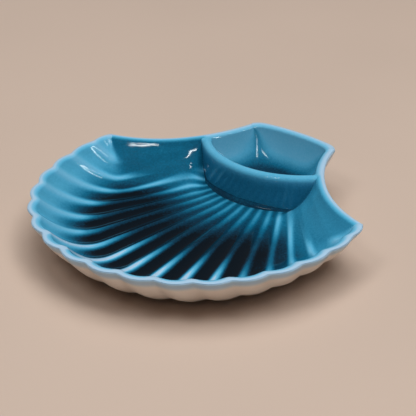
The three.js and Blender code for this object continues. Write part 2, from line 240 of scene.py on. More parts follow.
@dataclass(frozen=True)
class ShellPlan:
    """The drawing of the dish in millimetres, with the table at height 0."""

    # The inner rim edge in plan, seen from the focus of the ribs.
    fan_centre: float = 125.0
    fan_radius: float = 110.0
    fan_corner_half: float = 114.0
    fan_corner_set: float = 92.0
    fan_corner_round: float = 3.0
    fan_round_sharpness: float = 30.0
    ear_sharpness: float = 8.0
    neck_half: float = 53.0
    neck_set: float = 52.0
    side_bend: int = 4
    hinge_half_width: float = 33.0
    hinge_set: float = 8.0
    hinge_bow: float = 4.0
    hinge_round: float = 4.0
    hinge_round_sharpness: float = 14.0
    focus_back: float = 120.73

    # Heights above the table.
    foot_height: float = 2.0
    fan_floor: float = 9.0
    cup_floor: float = 8.5
    rim_fan: float = 33.0
    rim_hinge: float = 36.0
    divider_top: float = 36.0

    # How far the walls sweep in from the rim, the creases between them, and the lip.
    fan_run: float = 42.0
    cup_run: float = 16.0
    run_grow: float = 20.0
    outer_fan_run: float = 40.0
    outer_cup_run: float = 22.0
    outer_grow: float = 4.0
    cup_crease: float = 1.8
    fan_crease: float = 9.0
    least_distance: float = 1e-4
    lip_width: float = 5.25
    lip_handle: float = 2.0

    # The flutes, and the plain walls at the fan's sides.
    ribs_each_side: int = 8
    side_lobe: float = 0.6
    side_lobe_depth: float = 0.6
    flute_depth: float = 2.9
    flute_fade: float = 14.0
    rib_round: float = 0.11
    wall_relief: float = 1.8
    plain_side: float = 0.7
    beside_end: Span = (0.48, 0.64)
    beside_climb: Span = (0.32, 0.66)

    # The divider and the bead at its foot.
    divider_radius: float = 70.5
    divider_wall: float = 7.0
    bead_size: float = 4.5
    coat_room: float = 0.85
    fit_gap: float = 0.3
    pool: Pool = Pool()

    @property
    def cup_face(self) -> float:
        """The radius of the divider's face on the cup's side."""
        return self.divider_radius - self.divider_wall / 2

    @property
    def fan_face(self) -> float:
        """The radius of the divider's face on the fan's side."""
        return self.divider_radius + self.divider_wall / 2

    @property
    def cup_edge(self) -> float:
        """The radius at which the cup's own surface ends."""
        return self.cup_face - self.coat_room

    @property
    def bead_edge(self) -> float:
        """The radius at which the fan's own surface starts."""
        return self.fan_face + self.coat_room + self.bead_size + self.fit_gap

    @property
    def rib_spans(self) -> float:
        """How many flutes lie between the middle and a side, the narrow one counted by its width."""
        return self.ribs_each_side + self.side_lobe

    @property
    def ear(self) -> float:
        """How far the rim runs out at each corner of the fan."""
        return math.hypot(self.fan_corner_half, self.fan_centre - self.fan_corner_set) - self.fan_radius

    @cached_property
    def side_arc(self) -> tuple[float, float, float, float]:
        """The arc of the concave side edge, through the hinge's corner, the neck and the fan's corner.

        Returns:
            Its centre's x and y, its radius and the sign of its bend.
        """
        start = point(self.hinge_half_width, -self.hinge_set)
        neck = point(self.neck_half, -self.neck_set)
        corner = point(self.fan_corner_half, -self.fan_corner_set)
        chords = np.array([neck, corner]) - start
        offset = np.linalg.solve(2.0 * chords, (chords**2).sum(axis=1))
        return *(start + offset), math.hypot(*offset), math.copysign(1.0, np.linalg.det(chords))

    def side_radius(self, outset: float) -> float:
        """Give the side arc's radius at an outset from the inner rim edge."""
        _, _, radius, bend = self.side_arc
        return radius - bend * outset

    def side_angle(self, centre: float, radius: Any, outset: float) -> Any:
        """Find where a circle on the axis meets the side edge.

        Args:
            centre: How far the circle's centre lies in front of the focus.
            radius: The circle's radius.
            outset: How far outside the inner rim edge.

        Returns:
            The angle from the -Y direction.
        """
        x, y, _, bend = self.side_arc
        heading = math.atan2(x, -(y + centre))
        gap = math.hypot(x, y + centre)
        cosine = (radius**2 + gap**2 - self.side_radius(outset) ** 2) / (2.0 * radius * gap)
        return heading - bend * np.arccos(cosine)

    def side_distance(self, plan: Array, outset: float) -> Array:
        """Measure how far points lie inside the side edge."""
        x, y, _, bend = self.side_arc
        return bend * (np.hypot(np.abs(plan[..., 0]) - x, plan[..., 1] - y) - self.side_radius(outset))

    def hinge_line(self, across: Any, outset: float) -> Any:
        """Give the hinge edge's y, bowed back in the middle and rounded off at its corners."""
        rounded = self.hinge_round * np.abs(across) ** self.hinge_round_sharpness
        return outset - self.hinge_set + self.hinge_bow * (1.0 - across**2) - rounded

    def hinge_half(self, outset: float) -> float:
        """Give half the hinge's width, where its edge meets the side edge."""
        x, y, _, bend = self.side_arc
        return x - bend * math.sqrt(self.side_radius(outset) ** 2 - (self.hinge_line(1.0, outset) - y) ** 2)

    def hinge_distance(self, plan: Array, outset: float) -> Array:
        """Measure how far points lie inside the hinge edge."""
        across = np.clip(plan[..., 0] / self.hinge_half(outset), -1.0, 1.0)
        return self.hinge_line(across, outset) - plan[..., 1]

    def rim_radius(self, u: Any, outset: float) -> Any:
        """Give the fan rim's radius, which runs out into a blunt ear at each corner."""
        blunt = self.fan_corner_round * np.abs(u) ** self.fan_round_sharpness
        return self.fan_radius + self.ear * np.abs(u) ** self.ear_sharpness - blunt + outset

    def rim_angle(self, outset: float) -> float:
        """Give the angle of the fan's corner about the fan's centre."""
        return float(self.side_angle(self.fan_centre, self.rim_radius(1.0, outset), outset))

    def fan_distance(self, plan: Array, outset: float) -> Array:
        """Measure how far points lie inside the fan's rim.

        Args:
            plan: The points.
            outset: How far outside the inner rim edge.

        Returns:
            The distance of each point.
        """
        x, y = plan[..., 0], plan[..., 1] + self.fan_centre
        u = np.clip(np.arctan2(x, -y) / self.rim_angle(outset), -1.0, 1.0)
        return self.rim_radius(u, outset) - np.hypot(x, y)

    def soft_least(self, first: Array, second: Array, sharp: Array) -> Array:
        """Take the lesser of two distances, with the crease between them rounded off."""
        total = sum(np.maximum(part, self.least_distance) ** -sharp for part in (first, second))
        return total ** (-1.0 / sharp)

    def ring(self, radius: Any, u: Any, outset: float) -> Array:
        """Place points on a circle about the focus, from side edge to side edge."""
        angle = u * self.side_angle(0.0, radius, outset)
        return point(radius * np.sin(angle), -radius * np.cos(angle))

    def hinge(self, u: Any, outset: float) -> Array:
        """Place points on the hinge edge."""
        return point(u * self.hinge_half(outset), self.hinge_line(u, outset))

    def rim(self, u: Any, outset: float) -> Array:
        """Place points on the fan's rim."""
        angle, radius = u * self.rim_angle(outset), self.rim_radius(u, outset)
        return point(radius * np.sin(angle), -self.fan_centre - radius * np.cos(angle))

    def span(self, start: Curve, end: Curve, u: Array, along: Array, outset: float) -> Array:
        """Place points on straight lines between two curves, bent at the sides to follow the side arc.

        Args:
            start: The curve at along 0.
            end: The curve at along 1.
            u: Places across, from -1 to 1.
            along: Places on the lines, from 0 to 1.
            outset: How far outside the inner rim edge.

        Returns:
            The points in plan.
        """
        share = along[..., None]
        side = np.where(u < 0.0, -1.0, 1.0)
        edge = mix(start(side, outset), end(side, outset), share)
        x, y, _, _ = self.side_arc
        centre = point(side * x, y)
        seated = centre + unit(edge - centre) * self.side_radius(outset)
        bent = (seated - edge) * u[..., None] ** self.side_bend
        return mix(start(u, outset), end(u, outset), share) + bent

    def plan(self, u: Array, station: Array, outset: float) -> Array:
        """Place points in plan.

        Args:
            u: Places across, from -1 to 1.
            station: Places along, from hinge edge to rim.
            outset: How far outside the inner rim edge.

        Returns:
            The points in plan.
        """
        u, station = np.broadcast_arrays(u, station)
        starts = (HINGE, CUP_END, FAN_START)
        in_cup, in_joint, in_fan = (np.clip(station - start, 0.0, 1.0) for start in starts)
        cup = self.span(self.hinge, partial(self.ring, self.cup_edge), u, in_cup, outset)
        joint = self.ring(mix(self.cup_edge, self.bead_edge, in_joint), u, outset)
        fan = self.span(partial(self.ring, self.bead_edge), self.rim, u, in_fan, outset)
        sheet = np.where((station < CUP_END)[..., None], cup, joint)
        return np.where((station > FAN_START)[..., None], fan, sheet)

    def edge_height(self, plan: Array) -> Array:
        """Give the rim's height, level round the fan and climbing along the sides towards the hinge."""
        climb = smooth(plan[..., 1], -self.fan_centre, -self.hinge_set)
        return mix(self.rim_fan, self.rim_hinge, climb)

    def flute(self, u: Any) -> Any:
        """Draw the flutes across the dish, with every rib rounded off.

        Args:
            u: Places across, from -1 to 1.

        Returns:
            0 on a rib and 1 in the middle of a flute.
        """
        spans = np.abs(u) * self.rib_spans
        full = np.abs(np.sin(math.pi * np.minimum(spans, self.ribs_each_side)))
        narrow = np.sin(math.pi * np.clip((spans - self.ribs_each_side) / self.side_lobe, 0.0, 1.0))
        wave = full + self.side_lobe_depth * narrow
        soft = self.rib_round
        return (np.sqrt(wave**2 + soft**2) - soft) / (math.sqrt(1.0 + soft**2) - soft)

    def flute_share(self, u: Array, reach: Array) -> Array:
        """Give the flutes' depth as a share of the deepest, growing with the reach from the focus."""
        fade = smooth(reach, self.bead_edge, self.bead_edge + self.flute_fade)
        return fade * self.flute(u) * reach / (self.fan_centre + self.fan_radius)

    def sheet(self, u: Array, station: Array, outset: float, floors: Span, runs: Span) -> Skin:
        """Raise one face of the dish from its plan.

        Args:
            u: Places across the dish.
            station: Places along the dish.
            outset: 0 for the inside, the lip's width for the outside.
            floors: The heights of the level part in the cup and in the fan.
            runs: How far the wall sweeps in from the rim, in the cup and in the fan.

        Returns:
            The points, the glaze's depth and the places from the rim.
        """
        u, station = np.broadcast_arrays(u, station)
        inner = outset == 0.0
        plan = self.plan(u, station, outset)
        reach = np.hypot(plan[..., 0], plan[..., 1])
        grow = outset * self.outer_grow
        in_fan = smooth(reach, self.cup_face - grow, self.fan_face + grow)
        run_end = self.fan_face + (self.run_grow if inner else grow)
        run = mix(*runs, smooth(reach, self.cup_face - grow, run_end))

        end = mix(self.hinge_distance(plan, outset), self.fan_distance(plan, outset), in_fan)
        side = self.side_distance(plan, outset)
        inward = self.soft_least(side, end, mix(self.cup_crease, self.fan_crease, in_fan))
        rise = np.maximum(0.0, 1.0 - inward / run)
        floor = mix(*floors, in_fan)
        height = floor + (self.edge_height(plan) - floor) * rise**2
        nearer = np.maximum(end, 0.0) / (np.maximum(end, 0.0) + np.maximum(side, 0.0) + TINY)
        beside = smooth(nearer, *self.beside_end) * smooth(rise, *self.beside_climb) * in_fan

        # The inside has plainer side walls, and more relief that is fullest half way up the wall.
        share = self.flute_share(u, reach) * (1.0 - self.plain_side * beside * inner)
        relief = self.wall_relief * inner * (1.0 - (2.0 * rise - 1.0) ** 2)
        depth = self.flute_depth * share
        outwards = unit(plan - np.array([0.0, -self.fan_centre]))
        moved = plan + outwards * (depth * rise + relief * share)[..., None]
        drop = np.minimum(depth * (1.0 - rise), height - self.foot_height)
        raised = np.concatenate([moved, (height - drop)[..., None]], axis=-1)

        along = np.clip(station - FAN_START, 0.0, 1.0)
        in_flutes = self.pool.fan(rise, self.flute(u), along, u, beside)
        return Skin(raised, mix(self.pool.cup(rise, nearer), in_flutes, in_fan), -inward)

    def inside(self, u: Array, station: Array) -> Skin:
        """Raise the inside face."""
        floors = (self.cup_floor, self.fan_floor)
        return self.sheet(u, station, 0.0, floors, (self.cup_run, self.fan_run))

    def outside(self, u: Array, station: Array) -> Skin:
        """Raise the outside face."""
        floors = (self.foot_height, self.foot_height)
        return self.sheet(u, station, self.lip_width, floors, (self.outer_cup_run, self.outer_fan_run))

    def columns(self, per_lobe: int) -> Array:
        """Spread columns across the dish, with one on every rib.

        Args:
            per_lobe: How many columns there are to a flute.

        Returns:
            The places across the dish as a row.
        """
        full = np.arange(self.ribs_each_side * per_lobe) / per_lobe
        side = self.ribs_each_side + self.side_lobe * np.linspace(0.0, 1.0, per_lobe + 1)
        half = np.concatenate([full, side]) / self.rib_spans
        return np.concatenate([-half[:0:-1], half])[None, :]

    def in_frame(self, points: Array) -> Array:
        """Move drawn points to the shared frame, in metres."""
        return (points + np.array([0.0, self.focus_back, 0.0])) * MM


def stations(stops: tuple[float, ...], counts: tuple[int, ...], crowd: float = EDGE_CROWD) -> Array:
    """Spread rows along the dish, closer together at the hinge edge and at the rim.

    Args:
        stops: The stations between which the steps are shared out.
        counts: How many steps to take from each stop to the next.
        crowd: Above 1, the steps are shorter at the hinge edge.

    Returns:
        The stations as a column.
    """
    runs = []
    for start, end, count in zip(stops, stops[1:], counts):
        share = np.linspace(0.0, 1.0, count + 1)[:-1]
        if start == HINGE:
            share = share**crowd
        if end == RIM:
            share = 1.0 - (1.0 - share) ** EDGE_CROWD
        runs.append(mix(start, end, share))
    return np.append(np.concatenate(runs), stops[-1])[:, None]


@dataclass(frozen=True)
class Lip:
    """The round lip, drawn over the rim from the inside face to the outside face."""

    plan: ShellPlan
    at_hinge: bool = True
    at_rim: bool = True
    turn: int = 5

    def wrap(self, core: Skin, other: Skin, reach: float, count: int) -> Skin:
        """Widen one face of the dish by the part of the lip that joins it.

        Args:
            core: The face to widen.
            other: The other face, on the same rows and columns.
            reach: How far over the lip the face is taken, with 1 at the other face.
            count: How many steps to take over the lip.

        Returns:
            The face with its part of the lip. Corner points repeat and are merged later.
        """
        rows, cols = core.depth.shape
        before = count if self.at_hinge else 0
        after = count if self.at_rim else 0
        r = np.arange(-before, rows + after)[:, None]
        c = np.arange(-count, cols + count)[None, :]
        row, col = np.broadcast_arrays(np.clip(r, 0, rows - 1), np.clip(c, 0, cols - 1))
        step = np.maximum(np.maximum(-r, r - rows + 1), np.maximum(-c, c - cols + 1))
        on_lip = step > 0
        near = core.points[row, col]
        far = other.points[row, col]
        near_handle = near + self.soften(core)[row, col] * self.plan.lip_handle
        far_handle = far + self.soften(other)[row, col] * self.plan.lip_handle
        across = np.linspace(0.0, reach, count + 1)[np.maximum(step, 0)]
        t = across[..., None]
        curve = (
            near * (1 - t) ** 3
            + near_handle * 3 * t * (1 - t) ** 2
            + far_handle * 3 * t**2 * (1 - t)
            + far * t**3
        )
        points = np.where(on_lip[..., None], curve, near)
        edge = np.where(on_lip, across * self.plan.lip_width, core.edge[row, col])
        return Skin(points, core.depth[row, col], edge)

    def soften(self, face: Skin) -> Array:
        """Find which way a face runs out over its edge, turning slowly at the corners.

        Args:
            face: The inside or the outside of the dish.

        Returns:
            A direction for each point, which is zero away from the edge.
        """
        rows, cols = face.depth.shape
        left = [(row, 0) for row in range(rows - 1, -1, -1)]
        hinge = [(0, col) for col in range(1, cols - 1)] if self.at_hinge else []
        right = [(row, cols - 1) for row in range(rows)]
        rim = [(rows - 1, col) for col in range(cols - 2, 0, -1)] if self.at_rim else []
        loop = left + hinge + right + rim if self.at_hinge else right + rim + left
        row, col = np.array(loop).T
        to_row = row + (self.at_hinge & (row == 0)) - (self.at_rim & (row == rows - 1))
        to_col = col + (col == 0) - (col == cols - 1)
        leads = unit(face.points[row, col] - face.points[to_row, to_col])
        closed = self.at_hinge and self.at_rim
        padded = np.pad(leads, ((self.turn, self.turn), (0, 0)), mode="wrap" if closed else "edge")
        spread = np.hanning(2 * self.turn + 3)[1:-1]
        soft = np.stack([np.convolve(axis, spread, "valid") for axis in padded.T], axis=-1)
        result = np.zeros_like(face.points)
        result[row, col] = unit(soft)
        return result


@dataclass(frozen=True)
class Workshop:
    """Makes, joins and finishes meshes with Blender's own tools."""

    plan: ShellPlan
    merge: float = 1e-6
    crease: float = math.radians(40.0)
    bond: float = 0.05
    glaze: float = 0.5

    def grid(self, name: str, skin: Skin, upwards: bool = True) -> Piece:
        """Shape a grid primitive to a skin.

        Args:
            name: The piece's name.
            skin: Where the grid's points go.
            upwards: Whether the faces look up, or down.

        Returns:
            The new piece.
        """
        rows, cols = skin.depth.shape
        bpy.ops.object.select_all(action="DESELECT")
        bpy.ops.mesh.primitive_grid_add(x_subdivisions=cols - 1, y_subdivisions=rows - 1, size=2.0)
        piece = bpy.context.object
        piece.name = name
        mesh = piece.data
        flat = np.zeros(len(mesh.vertices) * 3)
        mesh.vertices.foreach_get("co", flat)
        # The primitive spans -1 to 1 both ways, which gives each point's row and column.
        x, y, _ = flat.reshape(-1, 3).T
        col = np.rint((1.0 + x) / 2.0 * (cols - 1)).astype(int)
        row = np.rint((1.0 - y) / 2.0 * (rows - 1)).astype(int)
        mesh.vertices.foreach_set("co", self.plan.in_frame(skin.points[row, col]).ravel())
        for label, values in (("depth", skin.depth), ("edge", skin.edge)):
            attribute = mesh.attributes.new(label, "FLOAT", "POINT")
            attribute.data.foreach_set("value", values[row, col].astype(np.float32))
        mesh.update()
        with self.editing(piece):
            bpy.ops.mesh.remove_doubles(threshold=self.merge)
            if not upwards:
                bpy.ops.mesh.flip_normals()
        return piece

    def coat(self, piece: Piece) -> None:
        """Lift a sheet off the clay and give it the thickness of a coat of glaze."""
        self.modify(piece, "DISPLACE", mid_level=0.0, strength=self.bond * MM)
        self.modify(piece, "SOLIDIFY", thickness=self.glaze * MM, offset=1.0)

    def trim_below(self, piece: Piece, height: float) -> None:
        """Cut away what lies below a height in millimetres."""
        with self.editing(piece):
            bpy.ops.mesh.bisect(plane_co=(0, 0, height * MM), plane_no=(0, 0, 1), clear_inner=True)

    def join(self, first: Piece, second: Piece) -> None:
        """Join two sheets along the edge that they share.

        Args:
            first: The sheet that takes up the other and keeps its name.
            second: The other sheet.
        """
        self.pick(first)
        second.select_set(True)
        bpy.ops.object.join()
        with self.editing(first):
            bpy.ops.mesh.remove_doubles(threshold=self.merge)

    def cap(self, piece: Piece) -> None:
        """Close the open ends of a bar and turn its faces outwards.

        Args:
            piece: The bar.
        """
        with self.editing(piece):
            bpy.ops.mesh.fill_holes(sides=0)
            bpy.ops.mesh.select_all(action="SELECT")
            bpy.ops.mesh.normals_make_consistent(inside=False)

    def modify(self, piece: Piece, kind: str, **settings: Any) -> None:
        """Add a modifier to a piece and apply it.

        Args:
            piece: The piece.
            kind: Blender's name of the modifier's type.
            settings: The modifier's own settings.
        """
        self.pick(piece)
        modifier = piece.modifiers.new(kind.lower(), kind)
        for label, setting in settings.items():
            setattr(modifier, label, setting)
        bpy.ops.object.modifier_apply(modifier=modifier.name)

    def finish(self, piece: Piece, material: Material, slot: Slot, *nodes: str) -> None:
        """Dress a piece and say which CAD nodes it stands for.

        Args:
            piece: The piece.
            material: Its finish.
            slot: The record's slot of that finish. It is not used.
            nodes: The CAD nodes that it replaces.
        """
        self.pick(piece)
        bpy.ops.object.shade_smooth_by_angle(angle=self.crease)
        piece.data.materials.clear()
        piece.data.materials.append(material)
        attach(piece, "root")
        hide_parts(*nodes)
        log.info("%s: %d faces, for %s", piece.name, len(piece.data.polygons), ", ".join(nodes))

    @contextmanager
    def editing(self, piece: Piece) -> Iterator[None]:
        """Open a piece in edit mode with all of it selected, and close it again.

        Args:
            piece: The piece.
        """
        self.pick(piece)
        bpy.ops.object.mode_set(mode="EDIT")
        bpy.ops.mesh.select_all(action="SELECT")
        yield
        bpy.ops.object.mode_set(mode="OBJECT")

    @staticmethod
    def pick(piece: Piece) -> None:
        """Select one piece alone and make it active.

        Args:
            piece: The piece.
        """
        bpy.ops.object.select_all(action="DESELECT")
        piece.select_set(True)
        bpy.context.view_layer.objects.active = piece


@dataclass(frozen=True)
class Grain:
    """Noise in a finish: its scale, its detail and how much it counts."""

    scale: float
    detail: float
    amount: float = 1.0


class Shader:
    """A material's node tree, built from numbers, colours and the sockets that its nodes give."""

    def __init__(self, name: str) -> None:
        """Start a material with one Principled shader.

        Args:
            name: The material's name.
        """
        self.material = bpy.data.materials.new(name)
        self.material.use_nodes = True
        self.tree = self.material.node_tree

    def add(self, kind: str, output: str | int, sockets: dict[Any, Any], **settings: Any) -> Socket:
        """Add a node.

        Args:
            kind: Blender's name of the node's type, after ShaderNode.
            output: The output to give, by name or number.
            sockets: What goes into its inputs, by name or number.
            settings: The node's own settings.

        Returns:
            The output.
        """
        node = self.tree.nodes.new("ShaderNode" + kind)
        for label, setting in settings.items():
            setattr(node, label, setting)
        self.feed(node, sockets)
        return node.outputs[output]

    def feed(self, node: bpy.types.Node, sockets: dict[Any, Any]) -> None:
        """Fill a node's inputs.

        Args:
            node: The node.
            sockets: What goes into each input: an output to link, a colour or a number.
        """
        for label, value in sockets.items():
            if isinstance(value, Socket):
                self.tree.links.new(value, node.inputs[label])
            else:
                node.inputs[label].default_value = (*value, 1.0) if isinstance(value, tuple) else value

    def math(self, operation: str, *values: Any, clamp: bool = False) -> Socket:
        """Work out a sum, held between 0 and 1 where it is clamped."""
        return self.add("Math", 0, dict(enumerate(values)), operation=operation, use_clamp=clamp)

    def ease(self, value: Socket, start: float, end: float) -> Socket:
        """Ease from 0 at the start to 1 at the end, which may be the lesser of the two."""
        sockets = {"Value": value, "From Min": start, "From Max": end}
        return self.add("MapRange", "Result", sockets, interpolation_type="SMOOTHSTEP")

    def attribute(self, name: str) -> Socket:
        """Read a number that the mesh holds at each point."""
        return self.add("Attribute", "Fac", {}, attribute_name=name)

    def noise(self, grain: Grain) -> Socket:
        """Make even noise about 0.5 from the Object coordinates."""
        place = self.add("TexCoord", "Object", {})
        return self.add("TexNoise", "Fac", {"Vector": place, "Scale": grain.scale, "Detail": grain.detail})

    def spread(self, grain: Grain, least: float) -> Socket:
        """Make noise that rises from its least by as much as the grain counts."""
        return self.math("MULTIPLY_ADD", self.noise(grain), grain.amount, least)

    def bump(self, grain: Grain, depth: float) -> Socket:
        """Make a bumped normal, of a depth in millimetres."""
        sockets = {"Height": self.noise(grain), "Strength": grain.amount, "Distance": depth * MM}
        return self.add("Bump", "Normal", sockets)

    def ramp(self, value: Socket, stops: tuple[tuple[float, Colour], ...]) -> Socket:
        """Colour a value by a ramp.

        Args:
            value: The value.
            stops: Pairs of a place on the ramp and its colour.

        Returns:
            The colour.
        """
        result = self.add("ValToRGB", "Color", {"Fac": value})
        elements = result.node.color_ramp.elements
        while len(elements) < len(stops):
            elements.new(1.0)
        for element, (place, colour) in zip(elements, stops):
            element.position = place
            element.color = (*colour, 1.0)
        return result

    def blend(self, share: Socket, low: Any, high: Any) -> Socket:
        """Mix two colours, which a Mix node takes in at 6 and 7 and gives out at 2."""
        return self.add("Mix", 2, {0: share, 6: low, 7: high}, data_type="RGBA")

    def dress(self, **sockets: Any) -> Material:
        """Finish the material.

        Args:
            sockets: What goes into the Principled shader, by name with _ for each space.

        Returns:
            The material.
        """
        named = {label.replace("_", " "): value for label, value in sockets.items()}
        self.feed(self.tree.nodes["Principled BSDF"], named)
        return self.material


@dataclass(frozen=True)
class TealGlaze:
    """The glossy inside glaze: near black in its pool, teal on the walls, pale where it breaks, with
    painted highlights and shade in the depth that colours it.
    """

    name: str = "teal_glaze"
    stops: tuple[tuple[float, Colour], ...] = (
        (0.0, PALE_BLUE),
        (0.06, (0.20, 0.55, 0.785)),
        (0.18, (0.10, 0.465, 0.70)),
        (0.36, (0.036, 0.285, 0.465)),
        (0.56, (0.006, 0.148, 0.265)),
        (0.78, (0.004, 0.045, 0.088)),
        (1.0, (0.003, 0.007, 0.012)),
    )
    worn_to_whole: Span = (3.2, -0.3)
    clouds: Grain = Grain(55.0, 3.0, 0.14)
    specks: Grain = Grain(700.0, 3.0, 0.26)
    least_mottle: float = 0.25
    roughness: float = 0.06
    gloss: Grain = Grain(300.0, 2.0, 0.04)
    ripple: Grain = Grain(120.0, 1.0, 0.35)
    ripple_depth: float = 0.2

    def material(self) -> Material:
        """Colour the glaze by the depth that the mesh holds, and wear it over the lip.

        Returns:
            The material.
        """
        shader = Shader(self.name)
        clouds = shader.spread(self.clouds, -self.clouds.amount / 2)
        mottle = shader.math("ADD", clouds, shader.spread(self.specks, -self.specks.amount / 2))
        # The depth holds the glaze's own depth and, in places, painted highlights and shade.
        depth_with_painted_light = shader.attribute("depth")
        by_depth = shader.math("ADD", depth_with_painted_light, self.least_mottle)
        mottled = shader.math("MULTIPLY_ADD", mottle, by_depth, depth_with_painted_light)
        whole = shader.ease(shader.attribute("edge"), *self.worn_to_whole)
        depth = shader.math("MULTIPLY", mottled, whole, clamp=True)
        return shader.dress(
            Base_Color=shader.ramp(depth, self.stops),
            Roughness=shader.spread(self.gloss, self.roughness),
            Normal=shader.bump(self.ripple, self.ripple_depth),
        )


@dataclass(frozen=True)
class CreamGlaze:
    """The satin glaze over the outside, tinged by the teal where the two meet under the rim."""

    name: str = "cream_glaze"
    cream: Colour = (0.88, 0.83, 0.77)
    warm: Colour = (0.84, 0.76, 0.68)
    patches: Grain = Grain(40.0, 3.0)
    patch_ease: Span = (0.35, 0.7)
    tinge: Span = (5.0, 1.0)
    roughness: float = 0.28
    satin: Grain = Grain(260.0, 2.0, 0.12)
    ripple: Grain = Grain(180.0, 2.0, 0.2)
    ripple_depth: float = 0.2
    coat: float = 0.15
    coat_roughness: float = 0.2

    def material(self) -> Material:
        """Warm the cream in patches and tinge it below the lip.

        Returns:
            The material.
        """
        shader = Shader(self.name)
        patches = shader.ease(shader.noise(self.patches), *self.patch_ease)
        cream = shader.blend(patches, self.cream, self.warm)
        tinged = shader.ease(shader.attribute("edge"), *self.tinge)
        return shader.dress(
            Base_Color=shader.blend(tinged, cream, PALE_BLUE),
            Roughness=shader.spread(self.satin, self.roughness),
            Normal=shader.bump(self.ripple, self.ripple_depth),
            Coat_Weight=self.coat,
            Coat_Roughness=self.coat_roughness,
        )


@dataclass(frozen=True)
class BareClay:
    """Fired clay with no glaze: dry, speckled and a little gritty."""

    name: str
    pale: Colour = (0.72, 0.63, 0.52)
    dark: Colour = (0.58, 0.48, 0.37)
    patches: Grain = Grain(60.0, 3.0, 0.5)
    patch_ease: Span = (0.35, 0.7)
    specks: Grain = Grain(1500.0, 1.0, 0.6)
    speck_ease: Span = (0.62, 0.74)
    roughness: float = 0.72
    dryness: Grain = Grain(400.0, 2.0, 0.16)
    grit: Grain = Grain(1200.0, 3.0, 0.4)
    grit_depth: float = 0.25

    def material(self) -> Material:
        """Darken the clay in patches and in specks.

        Returns:
            The material.
        """
        shader = Shader(self.name)
        patches = shader.ease(shader.noise(self.patches), *self.patch_ease)
        specks = shader.ease(shader.noise(self.specks), *self.speck_ease)
        speckled = shader.math("MULTIPLY", specks, self.specks.amount)
        dark = shader.math("MULTIPLY_ADD", patches, self.patches.amount, speckled, clamp=True)
        return shader.dress(
            Base_Color=shader.blend(dark, self.pale, self.dark),
            Roughness=shader.spread(self.dryness, self.roughness),
            Normal=shader.bump(self.grit, self.grit_depth),
        )


@dataclass(frozen=True)
class CastShell:
    """The cast dish and the glaze on its inside and outside."""

    plan: ShellPlan
    shop: Workshop
    clay: Material
    teal: Material
    cream: Material

    # Where the glazes meet, as a share of the lip, and the height of the cream's hem over the base.
    seam: float = 0.8
    hem: float = 1.2

    # Columns to a flute, steps over the lip, and rows between the stations of each piece.
    fine: int = 12
    coarse: int = 8
    lip_steps: int = 8
    cream_lip_steps: int = 3
    clay_rows: tuple[int, int, int] = (20, 8, 40)
    clay_crowd: float = 1.6
    cream_rows: tuple[int, int, int] = (36, 8, 60)
    cup_rows: tuple[int, int] = (44, 6)
    fan_rows: tuple[int, int] = (6, 72)

    def build(self) -> None:
        """Build the dish and its coats, and dress them."""
        self.shop.finish(self.body(), self.clay, Slot.CLAY, "shell_body")
        self.shop.finish(self.fan_coat(), self.teal, Slot.TEAL, "fan_glaze")
        self.shop.finish(self.cup_coat(), self.teal, Slot.TEAL, "cup_glaze")
        self.shop.finish(self.outer_coat(), self.cream, Slot.CREAM, "outer_glaze")

    def faces(self, columns: int, rows: Array) -> tuple[Skin, Skin]:
        """Raise the inside and the outside on the same rows and columns."""
        across = self.plan.columns(columns)
        return self.plan.inside(across, rows), self.plan.outside(across, rows)

    def body(self) -> Piece:
        """Model the clay of the dish: its inside, its lip and its outside as one closed wall.

        Returns:
            The piece.
        """
        rows = stations(WHOLE_DISH, self.clay_rows, self.clay_crowd)
        inside, outside = self.faces(self.coarse, rows)
        rolled = Lip(self.plan).wrap(inside, outside, 1.0, self.lip_steps)
        upper = self.shop.grid("cast_shell", rolled)
        lower = self.shop.grid("cast_base", outside, upwards=False)
        self.shop.join(upper, lower)
        return upper

    def fan_coat(self) -> Piece:
        """Model the teal coat over the fan and the inner part of its lip."""
        rows = stations((UNDER_DIVIDER, FAN_START, RIM), self.fan_rows)
        return self.inner_coat("fan_teal_coat", rows, Lip(self.plan, at_hinge=False))

    def cup_coat(self) -> Piece:
        """Model the teal coat in the dip cup and over the inner part of its lip."""
        rows = stations((HINGE, CUP_END, UNDER_DIVIDER), self.cup_rows)
        return self.inner_coat("cup_teal_coat", rows, Lip(self.plan, at_rim=False))

    def inner_coat(self, name: str, rows: Array, lip: Lip) -> Piece:
        """Model a coat on part of the inside.

        Args:
            name: The coat's name.
            rows: The stations that it covers.
            lip: The part of the lip that it runs on to.

        Returns:
            The coat.
        """
        inside, outside = self.faces(self.fine, rows)
        rolled = lip.wrap(inside, outside, self.seam, self.lip_steps)
        piece = self.shop.grid(name, rolled)
        self.shop.coat(piece)
        return piece

    def outer_coat(self) -> Piece:
        """Model the cream coat over the outside, from the lip to a hem above the bare base.

        Returns:
            The piece.
        """
        rows = stations(WHOLE_DISH, self.cream_rows)
        inside, outside = self.faces(self.fine, rows)
        rolled = Lip(self.plan).wrap(outside, inside, 1.0 - self.seam, self.cream_lip_steps)
        skin = Skin(rolled.points, rolled.depth, -rolled.edge)
        piece = self.shop.grid("cream_coat", skin, upwards=False)
        self.shop.trim_below(piece, self.plan.foot_height + self.hem)
        self.shop.coat(piece)
        return piece


